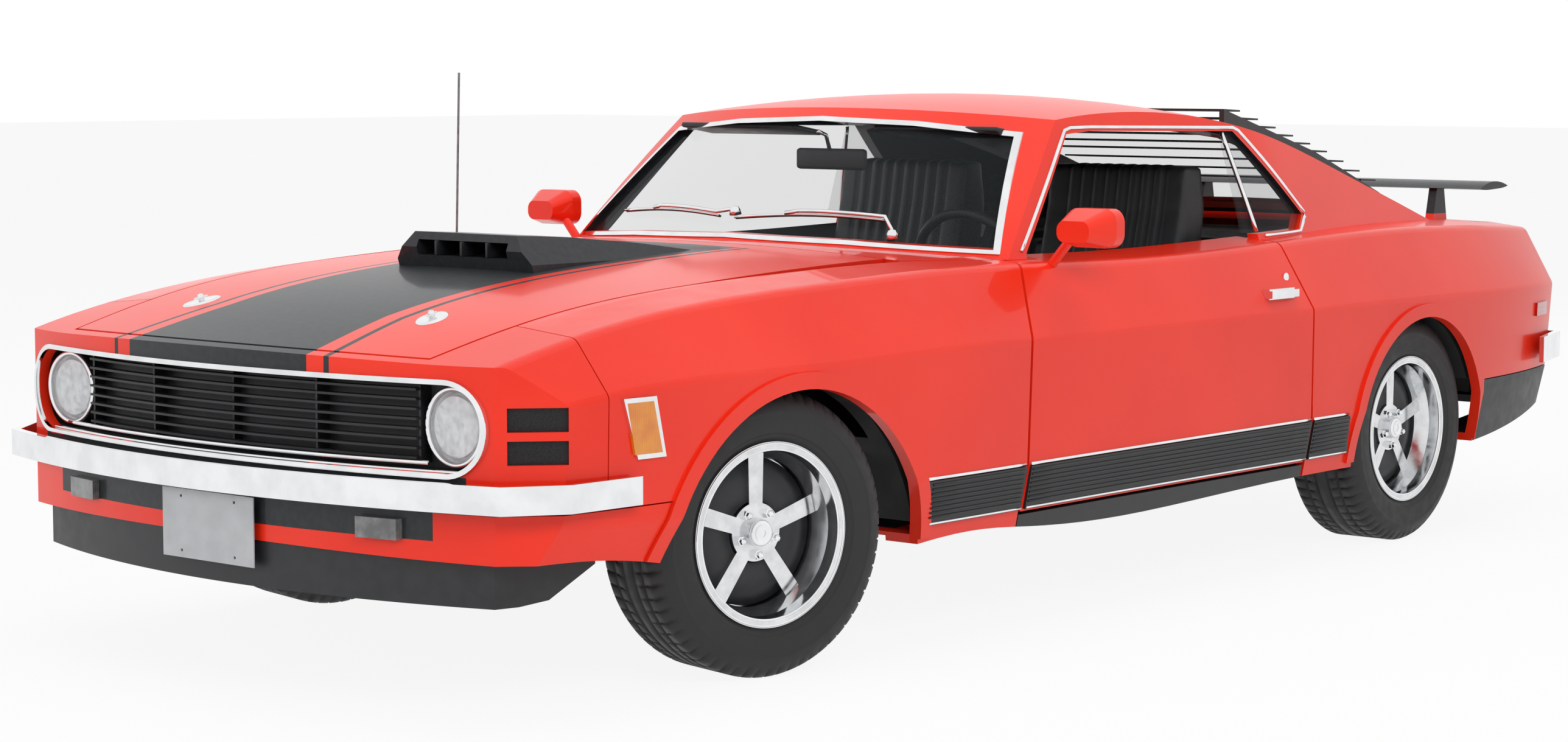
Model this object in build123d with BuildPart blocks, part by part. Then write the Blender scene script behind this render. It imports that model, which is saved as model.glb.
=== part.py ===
from build123d import *
# Two-door fastback muscle car: an assembly of separate body panels, glass, trim, cabin, running gear
# and wheels. Millimetres. +X is forward, +Y is the car's left, +Z is up, and the ground is Z = 0.
from math import cos, radians, sin
import os

os.makedirs("parts", exist_ok=True)

# Driving dimensions of the whole car
length = 4760
wheelbase = 2743
track = 1486
front_overhang = 985
nose_x = length / 2
tail_x = -length / 2
front_axle_x = nose_x - front_overhang
rear_axle_x = front_axle_x - wheelbase
half_track = track / 2

# Panels: outer skin thickness, gap between fixed panels and gap round moving ones
skin = 22
seam = 3
lid_gap = 7

# Body heights and lengths
rocker_z = 246
door_bottom_z = 286
hood_rear_x = 800
hood_y_rear = 688
hood_y_front = 606
deck_front_x = -1905
deck_rear_x = -2296
deck_half = 578
nose_corner_x = 2000

# Wheels, tyres and steering
tyre_r = 322
tyre_width = 228
rim_r = 198
lip_r = 208
spoke_count = 5
hub_face = 46
spindle_r = 22
spindle_clearance = 0.05
steer_rest = -12
kingpin_inset = 118

# Wheel arches: their axle x, radius and centre height, with a flared lip round each
arch_rows = [
    (front_axle_x, 440, 206),
    (rear_axle_x, 362, 284),
]
arch_lip = 38
lip_swell = 8

# Lower body stations, rear to front. Each row: x, centre height, hood or deck edge (y, z),
# shoulder (y, z), side crease (y, z), lower side (y, z) and bottom edge (y, z).
body_rows = [
    (-2420, 872, 556, 866, 666, 852, 756, 690, 742, 440, 712, 330),
    (-2150, 888, 585, 881, 722, 868, 838, 692, 826, 425, 800, 300),
    (-1800, 902, 610, 895, 762, 884, 884, 696, 878, 408, 850, 262),
    (-1343, 912, 650, 902, 782, 892, 902, 700, 900, 404, 872, rocker_z),
    (-700, 905, 676, 893, 800, 880, 905, 702, 903, 404, 872, rocker_z),
    (540, 912, 690, 892, 806, 878, 906, 702, 903, 404, 872, rocker_z),
    (1000, 915, 680, 890, 802, 872, 904, 700, 900, 404, 872, rocker_z),
    (1500, 890, 662, 868, 792, 850, 896, 694, 892, 404, 864, rocker_z),
    (1900, 846, 640, 824, 782, 808, 886, 684, 882, 404, 846, 318),
    (2130, 800, 618, 776, 782, 764, 866, 660, 858, 420, 826, 334),
    (2340, 748, 600, 724, 756, 710, 842, 650, 832, 440, 800, 345),
]
shoulder_fillet, crease_fillet, sill_fillet = 34, 26, 60

# Nose in plan: an arc through the centre and both front corners; the tail leans forward to its foot
nose_arc = [(2218, 765), (2325, 0), (2218, -765)]
nose_side = (2082, 890)
tail_line = [(-2345, 1000), (-2345, 850), (-2328, 690), (-2298, 430), (-2280, 150)]
face_thick = 26

# Grille opening in the nose
grille_half = 742
grille_low = 520
grille_high = 704
grille_corner = 88

# Cabin outline in plan at three heights. Each row: z, windscreen centre x, front corner (x, y),
# side point (x, y) behind the door and rear corner y.
cabin_rows = [
    (866, 718, 445, 742, -800, 752, 592),
    (1060, 470, 262, 690, -800, 700, 545),
    (1300, 150, 15, 612, -780, 628, 470),
]
# Roof stations, rear to front: x, centre height and fall at the roof's half width
roof_rows = [
    (-1990, 888, 30),
    (-1880, 922, 36),
    (-1500, 1044, 58),
    (-1100, 1166, 70),
    (-700, 1252, 66),
    (-300, 1281, 58),
    (0, 1272, 56),
    (240, 1244, 56),
    (760, 1150, 56),
]
roof_half = 725
pillar = 34
glass_inset = 9
glass_thick = 6


def export(piece, name):
    """Labels one finished piece and writes its STEP file."""
    piece.label = name
    export_step(piece, f"parts/{name}.step")


def export_pair(piece, name):
    """Writes a left-hand piece and its mirror image across the middle of the car."""
    export(piece, f"{name}_left")
    export(mirror(piece, about=Plane.XZ), f"{name}_right")


def export_both(piece, name):
    """Writes a left-hand piece and its mirror image together, as two solids of one node."""
    export(Compound(children=[piece, mirror(piece, about=Plane.XZ)]), name)


def station_plane(x):
    """The plane across the car at x, with its own X along the car's Y and its own Y up."""
    return Plane((x, 0, 0), x_dir=(0, 1, 0), z_dir=(1, 0, 0))


def side_plane(y):
    """The plane along the car at y, with its own X along the car's X and its own Y up."""
    return Plane((0, y, 0), x_dir=(1, 0, 0), z_dir=(0, -1, 0))


def slab(x0, x1, y0, y1, z0, z1, mode=Mode.ADD):
    """A plain block between two corners, added to the piece being built."""
    with Locations(((x0 + x1) / 2, (y0 + y1) / 2, (z0 + z1) / 2)):
        Box(abs(x1 - x0), abs(y1 - y0), abs(z1 - z0), mode=mode)


def cut_plan(points, z0, z1, mode):
    """A prism standing on a plan outline, from height z0 to z1."""
    with BuildSketch(Plane.XY.offset(z0)) as outline:
        Polygon(*points, align=None)
    extrude(outline.sketch, amount=z1 - z0, dir=(0, 0, 1), mode=mode)


def cut_side(points, y0, y1, mode):
    """A prism lying across the car on a side-view outline, from y0 up to y1."""
    with BuildSketch(side_plane(y1)) as outline:
        Polygon(*points, align=None)
    extrude(outline.sketch, amount=y1 - y0, dir=(0, -1, 0), mode=mode)


def cut_front(points, x0, x1, mode):
    """A prism along the car on a front-view outline, from x0 to x1."""
    with BuildSketch(station_plane(x0)) as outline:
        Polygon(*points, align=None)
    extrude(outline.sketch, amount=x1 - x0, dir=(1, 0, 0), mode=mode)


def rod(start, end, radius, mode=Mode.ADD):
    """A round bar between two points."""
    span = Vector(*end) - Vector(*start)
    with BuildSketch(Plane(origin=start, z_dir=(span.X, span.Y, span.Z))) as outline:
        Circle(radius)
    extrude(outline.sketch, amount=span.length, dir=span, mode=mode)


def hull(inset, swell=0):
    """The lower body as one solid through its stations, pulled in by inset or pushed out by swell."""
    with BuildPart() as body:
        for x, cz, ey, ez, sy, sz, my, mz, ly, lz, by, bz in body_rows:
            with BuildSketch(station_plane(x)):
                with BuildLine():
                    side = [
                        (ey, ez - inset),
                        (sy - inset + swell, sz - inset),
                        (my - inset + swell, mz),
                        (ly - inset + swell, lz),
                        (by - inset + swell, bz + inset),
                    ]
                    other = [(-y, z) for y, z in side]
                    FilletPolyline(*side, radius=[shoulder_fillet, crease_fillet, sill_fillet])
                    FilletPolyline(*other, radius=[shoulder_fillet, crease_fillet, sill_fillet])
                    ThreePointArc(side[0], (0, cz - inset), other[0])
                    Line(side[-1], other[-1])
                make_face()
        loft()
    return body.part


def envelope(back):
    """Everything between the curved nose face and the tail face, each moved inwards by back."""
    with BuildPart() as room:
        with BuildSketch(Plane.XY.offset(120)):
            with BuildLine():
                arc = [(x - back, y) for x, y in nose_arc]
                ThreePointArc(*arc)
                sx, sy = nose_side
                Polyline(arc[2], (sx - back, -sy), (sx - back, -1000), (-2600, -1000), (-2600, 1000),
                         (sx - back, 1000), (sx - back, sy), arc[0])
            make_face()
        extrude(amount=1000)
        tail = [(x + back, z) for x, z in tail_line]
        cut_side([*tail, (2600, 100), (2600, 1000)], -1100, 1100, Mode.INTERSECT)
    return room.part


def cabin(inset):
    """The glasshouse as one solid: its walls in plan at three heights, cut off by the crowned roof."""
    with BuildPart() as roof:
        for x, cz, fall in roof_rows:
            with BuildSketch(station_plane(x)):
                with BuildLine():
                    edge = (roof_half, cz - fall - inset)
                    ThreePointArc((-edge[0], edge[1]), (0, cz - inset), edge)
                    Polyline(edge, (900, edge[1] - 60), (900, 600), (-900, 600), (-900, edge[1] - 60),
                             (-edge[0], edge[1]))
                make_face()
        loft()
    with BuildPart() as walls:
        for z, cx, fx, fy, sx, sy, ry in cabin_rows:
            with BuildSketch(Plane.XY.offset(z)):
                with BuildLine():
                    side = [
                        (fx - 1.2 * inset, fy - inset),
                        (sx, sy - inset),
                        (-2000, ry - inset),
                    ]
                    other = [(x, -y) for x, y in side]
                    FilletPolyline(*side, radius=1400)
                    FilletPolyline(*other, radius=1400)
                    ThreePointArc(side[0], (cx - inset * 1.3, 0), other[0])
                    Line(side[-1], other[-1])
                make_face()
        loft()
        add(roof.part, mode=Mode.INTERSECT)
    return walls.part


def arch(axle_x, radius, height, y0, y1, mode):
    """A round bar across the car through a wheel arch, between y0 and y1."""
    with BuildSketch(side_plane(y1)) as outline:
        with Locations((axle_x, height)):
            Circle(radius)
    extrude(outline.sketch, amount=y1 - y0, dir=(0, -1, 0), mode=mode)


def nose_strip(inward, outward, z0, z1):
    """A strip that follows the nose face, from inward behind it to outward ahead of it."""
    with BuildPart() as strip:
        with BuildSketch(Plane.XY.offset(z0)):
            with BuildLine():
                front = [(x + outward, y) for x, y in nose_arc]
                back = [(x - inward, y) for x, y in nose_arc]
                ThreePointArc(*front)
                ThreePointArc(*back)
                Line(front[0], back[0])
                Line(front[2], back[2])
            make_face()
        extrude(amount=z1 - z0)
    return strip.part


# The body skins that every outer panel is cut from
outer = hull(0)
inner = hull(skin)
room = envelope(0)
room_back = envelope(face_thick)
with BuildPart() as closed_shell:
    add(outer)
    add(room, mode=Mode.INTERSECT)
    with BuildPart(mode=Mode.PRIVATE) as hollow:
        add(inner)
        add(room_back, mode=Mode.INTERSECT)
    add(hollow.part, mode=Mode.SUBTRACT)
shell = closed_shell.part
lip_skin = hull(0, lip_swell) - inner
outer_clear = hull(-0.3)
cabin_clear = cabin(-0.3)



def hood_y(x):
    """Half width of the hood at x."""
    share = (x - hood_rear_x) / (1960 - hood_rear_x)
    return hood_y_rear + (hood_y_front - hood_y_rear) * share


# Door edges in side view, front from the foot up and rear from the top down
door_front_line = [(566, door_bottom_z), (552, 700), (444, 930)]
door_inner_line = [(668, 930), (775, door_bottom_z)]

with BuildPart() as fender:
    add(shell)
    cut_side(
        [(575, 200), (575, door_bottom_z), (561, 700), (454, 930), (454, 1000), (nose_corner_x - seam, 1000),
         (nose_corner_x - seam, 440), (1700, 440), (1700, 200)],
        0, 1000, Mode.INTERSECT,
    )
    cut_front([(560, 1000), (560, 600), (778, 600), (778, 200), (1000, 200), (1000, 1000)],
              400, 2400, Mode.INTERSECT)
    cut_plan([(300, 0), (300, 755), (440, 755), (hood_rear_x, hood_y_rear + lid_gap),
              (nose_x, hood_y(nose_x) + lid_gap), (nose_x, 0)], 600, 1000, Mode.SUBTRACT)
    with BuildPart(mode=Mode.PRIVATE) as lip:
        add(lip_skin)
        arch(front_axle_x, arch_rows[0][1] + arch_lip, arch_rows[0][2], 700, 1000, Mode.INTERSECT)
        slab(800, 2000, 700, 1000, 262, 900, Mode.INTERSECT)
    add(lip.part)
    arch(*arch_rows[0], 600, 1100, Mode.SUBTRACT)
export_both(fender.part, "fenders")


def hood_region(grow, front_grow):
    """The hood's outline in plan as a tall prism, grown by the gap round it."""
    with BuildPart() as region:
        with BuildSketch(Plane.XY.offset(640)):
            with BuildLine():
                arc = [(2215 + front_grow, 640), (2291 + front_grow, 0), (2215 + front_grow, -640)]
                ThreePointArc(*arc)
                Polyline(arc[2], (hood_rear_x - grow, -640), (hood_rear_x - grow, 640), arc[0])
            make_face()
        extrude(amount=400)
        cut_plan([(hood_rear_x - grow, hood_y_rear + grow), (nose_x, hood_y(nose_x) + grow),
                  (nose_x, -hood_y(nose_x) - grow), (hood_rear_x - grow, -hood_y_rear - grow)],
                 600, 1100, Mode.INTERSECT)
    return region.part


with BuildPart() as hood:
    add(shell)
    add(hood_region(0, 0), mode=Mode.INTERSECT)
    with BuildPart(mode=Mode.PRIVATE) as scoop:
        cut_side([(1010, 880), (1010, 912), (1180, 935), (1400, 957), (1560, 966), (1575, 930), (1560, 880)],
                 -225, 225, Mode.ADD)
        cut_front([(-225, 800), (-225, 900), (-150, 990), (150, 990), (225, 900), (225, 800)],
                  900, 1700, Mode.INTERSECT)
        slab(1330, 1600, -150, 150, 912, 948, Mode.SUBTRACT)
        add(inner, mode=Mode.SUBTRACT)
    add(scoop.part)
export(hood.part, "hood")

with BuildPart() as cowl_panel:
    add(shell)
    cut_plan(
        [(793, 684), (440, 752), (339, 752), (339, 668), (430, 640), (540, 400), (600, 0), (540, -400),
         (430, -640), (339, -668), (339, -752), (440, -752), (793, -684)],
        760, 1000, Mode.INTERSECT,
    )
export(cowl_panel.part, "cowl_panel")

# Two vents in each slanted nose corner, as low and high edges
nostril_rows = [(542, 592), (610, 660)]


def corner_strip(s0, s1, n0, n1, side):
    """Plan points of a strip along the slanted nose corner: s along it from the grille, n outwards."""
    (ax, ay), (bx, by) = nose_arc[0], nose_side
    span = ((bx - ax) ** 2 + (by - ay) ** 2) ** 0.5
    dx, dy = (bx - ax) / span, (by - ay) / span
    points = [(s0, n0), (s1, n0), (s1, n1), (s0, n1)]
    return [(ax + dx * s + dy * n, side * (ay + dy * s - dx * n)) for s, n in points]


with BuildPart() as nose_panel:
    add(shell)
    slab(nose_corner_x, 2400, -1000, 1000, 440, 1000, Mode.INTERSECT)
    add(hood_region(lid_gap, 9), mode=Mode.SUBTRACT)
    with BuildSketch(station_plane(2150)):
        with Locations((0, (grille_low + grille_high) / 2)):
            RectangleRounded(2 * grille_half, grille_high - grille_low, grille_corner)
    extrude(amount=300, mode=Mode.SUBTRACT)
    for side in (1, -1):
        for z0, z1 in nostril_rows:
            cut_plan(corner_strip(26, 152, -60, 20, side), z0, z1, Mode.SUBTRACT)
export(nose_panel.part, "nose_panel")

with BuildPart() as nostril_mesh:
    for z0, z1 in nostril_rows:
        cut_plan(corner_strip(26.3, 151.7, -18, -12, 1), z0 + 0.3, z1 - 0.3, Mode.ADD)
export_both(nostril_mesh.part, "nostril_mesh")

with BuildPart() as front_valance:
    add(shell)
    slab(1700, 2400, -1000, 1000, 200, 437, Mode.INTERSECT)
    slab(1600, 2210, -690, 690, 200, 374, Mode.SUBTRACT)
    lip_edge = arch_rows[0][1] + arch_lip + 3
    arch(front_axle_x, lip_edge, arch_rows[0][2], 600, 1100, Mode.SUBTRACT)
    arch(front_axle_x, lip_edge, arch_rows[0][2], -1100, -600, Mode.SUBTRACT)
    slab(1690, 1800, -690, 690, 200, 500, Mode.SUBTRACT)
export(front_valance.part, "front_valance")

with BuildPart() as chin_spoiler:
    with BuildSketch(Plane.XY.offset(240)):
        with BuildLine():
            ThreePointArc((2196, 740), (2322, 0), (2196, -740))
            Polyline((2196, -740), (1960, -800), (1950, -780), (2176, -722))
            ThreePointArc((2176, -722), (2300, 0), (2176, 722))
            Polyline((2176, 722), (1950, 780), (1960, 800), (2196, 740))
        make_face()
    extrude(amount=150)
    cut_side([(1900, 340), (1955, 318), (2070, 248), (2140, 240), (2400, 240), (2400, 440), (1900, 440)],
             -1000, 1000, Mode.INTERSECT)
    add(outer_clear, mode=Mode.SUBTRACT)
export(chin_spoiler.part, "chin_spoiler")

with BuildPart() as door:
    add(outer)
    cut_side([*door_front_line, (-728, 930), (-728, door_bottom_z)], 500, 1000, Mode.INTERSECT)
    cut_front([*door_inner_line, (1000, door_bottom_z), (1000, 930)], -900, 800, Mode.INTERSECT)
    cut_plan([(330, 0), (330, 760), (700, 760), (700, 0)], 600, 1000, Mode.SUBTRACT)
    cut_plan([(-728, 910), (-700, 640), (-900, 640), (-900, 910)], 200, 1000, Mode.SUBTRACT)
    with BuildPart(mode=Mode.PRIVATE) as pocket:
        slab(-640, 480, 690, 838, 330, 640)
    add(pocket.part, mode=Mode.SUBTRACT)
export_pair(door.part, "door")

with BuildPart() as sill:
    add(shell)
    slab(-725, 571, 778, 1000, 200, 278, Mode.INTERSECT)
export_both(sill.part, "sills")

with BuildPart() as quarter:
    add(shell)
    cut_plan([(-736, 910), (-736, 1000), (-2400, 1000), (-2400, 646), (-2303, 646), (-2303, deck_half + lid_gap),
              (deck_front_x + 8, deck_half + lid_gap), (deck_front_x + 8, 548), (-713, 700)],
             440, 1000, Mode.INTERSECT)
with BuildPart() as quarter_foot:
    add(shell)
    cut_plan([(-736, 778), (-736, 1000), (-1715, 1000), (-1715, 778)], 200, 442, Mode.INTERSECT)
with BuildPart() as quarter_panel:
    add(quarter.part)
    add(quarter_foot.part)
    with BuildPart(mode=Mode.PRIVATE) as lip:
        add(lip_skin)
        arch(rear_axle_x, arch_rows[1][1] + arch_lip, arch_rows[1][2], 700, 1000, Mode.INTERSECT)
        slab(-1900, -900, 700, 1000, 262, 900, Mode.INTERSECT)
        slab(-1900, -1712, 700, 1000, 200, 440, Mode.SUBTRACT)
    add(lip.part)
    arch(*arch_rows[1], 600, 1100, Mode.SUBTRACT)
export_both(quarter_panel.part, "quarter_panels")

with BuildPart() as trunk_lid:
    add(shell)
    slab(deck_rear_x, deck_front_x, -deck_half, deck_half, 700, 1000, Mode.INTERSECT)
    with BuildPart(mode=Mode.PRIVATE) as wing:
        with BuildSketch(side_plane(610)):
            with BuildLine():
                Spline((-2368, 985), (-2290, 1000), (-2190, 978), tangents=((1, 0.35), (1, -0.5)))
                Spline((-2190, 978), (-2285, 976), (-2368, 985), tangents=((-1, -0.2), (-1, 0.3)))
            make_face()
        extrude(amount=1220)
        for y in (-430, 430):
            cut_side([(-2285, 868), (-2262, 985), (-2222, 985), (-2195, 868)], y - 14, y + 14, Mode.ADD)
    add(wing.part)
export(trunk_lid.part, "trunk_lid")

with BuildPart() as tail_panel:
    add(shell)
    slab(-2400, -2303, -643, 643, 440, 1000, Mode.INTERSECT)
export(tail_panel.part, "tail_panel")

with BuildPart() as rear_valance:
    add(shell)
    slab(-2400, -1718, -1000, 1000, 200, 437, Mode.INTERSECT)
    slab(-2230, -1600, -700, 700, 200, 500, Mode.SUBTRACT)
export(rear_valance.part, "rear_valance")

# The glasshouse
cabin_outer = cabin(0)
cabin_inner = cabin(pillar)
screen_opening = [(-700, 905), (-575, 1178), (-300, 1203), (0, 1213), (300, 1203), (575, 1178), (700, 905),
                  (350, 924), (0, 932), (-350, 924)]
side_opening = [(352, 840), (352, 893), (70, 1183), (-40, 1190), (-690, 1180), (-985, 946), (-945, 906),
                (-702, 902), (-702, 840)]
back_opening = [(-868, 500), (-868, -500), (-1795, -455), (-1795, 455)]

with BuildPart() as roof_panel:
    add(cabin_outer)
    add(cabin_inner, mode=Mode.SUBTRACT)
    cut_front(screen_opening, 90, 900, Mode.SUBTRACT)
    cut_side(side_opening, 450, 900, Mode.SUBTRACT)
    cut_side(side_opening, -900, -450, Mode.SUBTRACT)
    cut_plan(back_opening, 800, 1300, Mode.SUBTRACT)
    slab(-1893, 900, -900, 900, 800, 1400, Mode.INTERSECT)
    add(outer, mode=Mode.SUBTRACT)
export(roof_panel.part, "roof_panel")

glass_shell = cabin(glass_inset) - cabin(glass_inset + glass_thick)
with BuildPart() as windshield:
    add(glass_shell)
    cut_front(screen_opening, 90, 900, Mode.INTERSECT)
    add(outer, mode=Mode.SUBTRACT)
export(windshield.part, "windshield")

with BuildPart() as rear_window:
    add(glass_shell)
    cut_plan(back_opening, 850, 1300, Mode.INTERSECT)
export(rear_window.part, "rear_window")

with BuildPart() as quarter_glass:
    add(glass_shell)
    cut_side([(-640, 906.5), (-640, 1180), (-689, 1179.3), (-983, 946), (-944.5, 906.6), (-706, 902.8)], 450, 900,
             Mode.INTERSECT)
    add(outer, mode=Mode.SUBTRACT)
export_both(quarter_glass.part, "quarter_glass")

# Black slats over the rear window, on a rail each side that is seated on the roof
slat_count = 9
slat_top = [(-872, 1236), (-1400, 1108), (-1812, 975)]
with BuildPart() as slat_rails:
    for side in (-1, 1):
        cut_plan([(-872, side * 504), (-872, side * 520), (-1812, side * 475), (-1812, side * 459)], 900, 1300,
                 Mode.ADD)
    cut_side([*slat_top, (-1812, 850), (-872, 850)], -600, 600, Mode.INTERSECT)
    add(cabin_clear, mode=Mode.SUBTRACT)
with BuildPart() as rear_slats:
    add(slat_rails.part)
    for row in range(slat_count):
        x = -890 - row * 103
        z = 1232 - (row * 103) * 0.2425 - max(0, row - 5) * 6
        width = 506 - row * 4.8
        cut_side([(x, z), (x, z + 5), (x - 86, z + 1), (x - 86, z - 4)], -width, width, Mode.ADD)
export(rear_slats.part, "rear_slats")

# Bumpers, grille and lamps
def bumper(plan, thick, z0, z1):
    """A bright blade that follows a plan outline round both corners of the car."""
    with BuildPart() as blade:
        sign = 1 if plan[0][0] > 0 else -1
        for shift, mode in ((0, Mode.ADD), (thick, Mode.SUBTRACT)):
            with BuildSketch(Plane.XY.offset(z0)):
                with BuildLine():
                    (cx, _), (kx, ky), *side_points = plan
                    left = [(kx - sign * shift, ky - shift)] + [(x, y - shift) for x, y in side_points]
                    right = [(x, -y) for x, y in left]
                    ThreePointArc(left[0], (cx - sign * shift, 0), right[0])
                    Polyline(*right, *reversed(left))
                make_face()
            extrude(amount=z1 - z0, mode=mode)
    return blade.part


with BuildPart() as front_bumper:
    add(bumper([(nose_x, 0), (2252, 816), (2130, 900), (1930, 910)], 15, 446, 506))
    for side in (-1, 1):
        slab(2307.0, 2352, side * 320, side * 340, 460, 490)
    add(outer_clear & envelope(-0.3), mode=Mode.SUBTRACT)
export(front_bumper.part, "front_bumper")

with BuildPart() as rear_bumper:
    add(bumper([(tail_x, 0), (-2346, 812), (-2100, 884)], 15, 462, 540))
    for y0, y1 in ((-420, -380), (380, 420)):
        cut_side([(-2368, 480), (-2368, 520), (-2308.7, 520), (-2304.1, 480)], y0, y1, Mode.ADD)
export(rear_bumper.part, "rear_bumper")

# Blank number plate with its four bolt holes, on a bracket that stands off the valance
plate_bolt_y = 89
plate_bolt_z = 60
with BuildPart() as number_plate:
    slab(2336, 2339, -152, 152, 284, 436)
    slab(2325.3, 2336, -40, 40, 320, 420)
    with BuildSketch(station_plane(2310)):
        with Locations((0, 360)):
            with GridLocations(2 * plate_bolt_y, 2 * plate_bolt_z, 2, 2):
                Circle(3.5)
    extrude(amount=40, mode=Mode.SUBTRACT)
export(number_plate.part, "number_plate")

# The grille is a deep black tray that follows the nose, with thin bars across between the lamps
tray_depth = 84
bar_count = 8
grille_mid = (grille_low + grille_high) / 2
with BuildPart() as tray_wall:
    with BuildSketch(station_plane(2040)):
        with Locations((0, grille_mid)):
            RectangleRounded(2 * grille_half + 24, grille_high - grille_low + 24, grille_corner + 12)
            RectangleRounded(2 * grille_half, grille_high - grille_low, grille_corner, mode=Mode.SUBTRACT)
    extrude(amount=300)
    add(nose_strip(tray_depth + 10, -face_thick - 0.3, 400, 800), mode=Mode.INTERSECT)
with BuildPart() as tray_floor:
    with BuildSketch(station_plane(2040)):
        with Locations((0, grille_mid)):
            RectangleRounded(2 * grille_half + 24, grille_high - grille_low + 24, grille_corner + 12)
    extrude(amount=300)
    add(nose_strip(tray_depth + 10, -tray_depth, 400, 800), mode=Mode.INTERSECT)
with BuildPart() as grille:
    add(tray_wall.part)
    add(tray_floor.part)
    for row in range(bar_count):
        z = grille_low + 20 + row * 20.5
        with BuildPart(mode=Mode.PRIVATE) as bar:
            add(nose_strip(64, -42, z, z + 5))
            slab(2000, 2400, -545, 545, 0, 1000, Mode.INTERSECT)
        add(bar.part)
    for y in (-545, -272, 0, 272, 545):
        slab(2160, 2262 if abs(y) < 300 else 2218, y - 3, y + 3, grille_low + 10, grille_high - 10)
    add(nose_strip(500, -tray_depth - 10, 0, 1000), mode=Mode.SUBTRACT)
export(grille.part, "grille")

# Round headlamps standing on the tray floor
lamp_y = 640
with BuildPart() as headlamp:
    with BuildSketch(station_plane(2090)):
        with Locations((lamp_y, grille_mid)):
            Circle(86)
    extrude(amount=120)
    with BuildSketch(station_plane(2192)):
        with Locations((lamp_y, grille_mid)):
            Circle(78)
    extrude(amount=40, mode=Mode.SUBTRACT)
    with BuildSketch(station_plane(2192)):
        with Locations((lamp_y, grille_mid)):
            Circle(76)
    extrude(amount=14, taper=40)
    add(nose_strip(500, -tray_depth + 0.3, 0, 1000), mode=Mode.SUBTRACT)
export_both(headlamp.part, "headlamps")

with BuildPart() as tail_lamps:
    for side in (-1, 1):
        for column in range(3):
            y0, y1 = sorted((side * (400 + column * 72), side * (458 + column * 72)))
            cut_side([(-2348, 612), (-2358, 728), (-2332.4, 728), (-2319.4, 612)], y0, y1, Mode.ADD)

# Trim that lies on the body's skin
trim_skin = hull(-7) - outer_clear
rocker_top = 398
rocker_low = 292
with BuildPart() as rocker_trim:
    add(trim_skin)
    cut_side([(578, rocker_low), (576, rocker_top), (985, rocker_top), (965, rocker_low)], 700, 1000,
             Mode.INTERSECT)
with BuildPart() as rocker_rear:
    add(trim_skin)
    cut_side([(-738, rocker_low), (-738, rocker_top), (-925, rocker_top), (-940, rocker_low)], 700, 1000,
             Mode.INTERSECT)
with BuildPart() as rocker_pair:
    add(rocker_trim.part)
    add(rocker_rear.part)
    for axle_x, radius, height in arch_rows:
        arch(axle_x, radius + arch_lip + 1, height, 600, 1100, Mode.SUBTRACT)
export_both(rocker_pair.part, "rocker_trim")

with BuildPart() as door_trim:
    add(trim_skin)
    slab(-725, 558, 700, 1000, rocker_low, rocker_top, Mode.INTERSECT)
export_pair(door_trim.part, "door_trim")

marker_edge = [(1964, 668), (1870, 668), (1840, 538), (1922, 538)]
marker_lens = [(1954, 658), (1878, 658), (1851, 548), (1930, 548)]
with BuildPart() as side_marker:
    add(trim_skin)
    cut_side(marker_edge, 600, 1000, Mode.INTERSECT)
    cut_side(marker_lens, 600, 1000, Mode.SUBTRACT)
with BuildPart() as marker:
    add(trim_skin)
    cut_side(marker_lens, 600, 1000, Mode.INTERSECT)
with BuildPart() as rear_marker:
    add(trim_skin)
    slab(-2235, -2125, 600, 1000, 600, 640, Mode.INTERSECT)
export(Compound(children=[tail_lamps.part, rear_marker.part, mirror(rear_marker.part, about=Plane.XZ)]),
       "tail_lamps")

with BuildPart() as door_handle:
    slab(-655, -520, 800, 905, 742, 762)
    slab(-650, -525, 800, 893, 738, 766, Mode.ADD)
    add(outer_clear, mode=Mode.SUBTRACT)
export_pair(door_handle.part, "door_handle")

with BuildPart() as mirror_body:
    with BuildSketch(station_plane(300)):
        with Locations((918, 962)):
            RectangleRounded(150, 96, 34)
    extrude(amount=34)
    with BuildSketch(station_plane(334)):
        with Locations((918, 962)):
            RectangleRounded(150, 96, 34)
    with BuildSketch(station_plane(398)):
        with Locations((908, 955)):
            RectangleRounded(96, 52, 22)
    loft()
    with BuildSketch(station_plane(296)):
        with Locations((918, 962)):
            RectangleRounded(136, 82, 28)
    extrude(amount=14, mode=Mode.SUBTRACT)
    rod((345, 800, 860), (345, 880, 950), 12)
    add(outer_clear, mode=Mode.SUBTRACT)
export_pair(mirror_body.part, "mirror")

with BuildPart() as grille_surround:
    with BuildSketch(station_plane(2150)):
        with Locations((0, grille_mid)):
            RectangleRounded(2 * grille_half + 22, grille_high - grille_low + 22, grille_corner + 11)
            RectangleRounded(2 * grille_half, grille_high - grille_low, grille_corner, mode=Mode.SUBTRACT)
    extrude(amount=300)
    add(nose_strip(-0.3, 10, 400, 800), mode=Mode.INTERSECT)

with BuildPart() as parking_lamps:
    for y0, y1 in ((440, 545), (-545, -440)):
        with BuildPart(mode=Mode.PRIVATE) as lamp:
            add(nose_strip(-0.3, 18, 376, 420))
            slab(2000, 2400, y0, y1, 300, 500, Mode.INTERSECT)
        add(lamp.part)
export(Compound(children=[parking_lamps.part, marker.part, mirror(marker.part, about=Plane.XZ)]),
       "amber_lamps")

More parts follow.
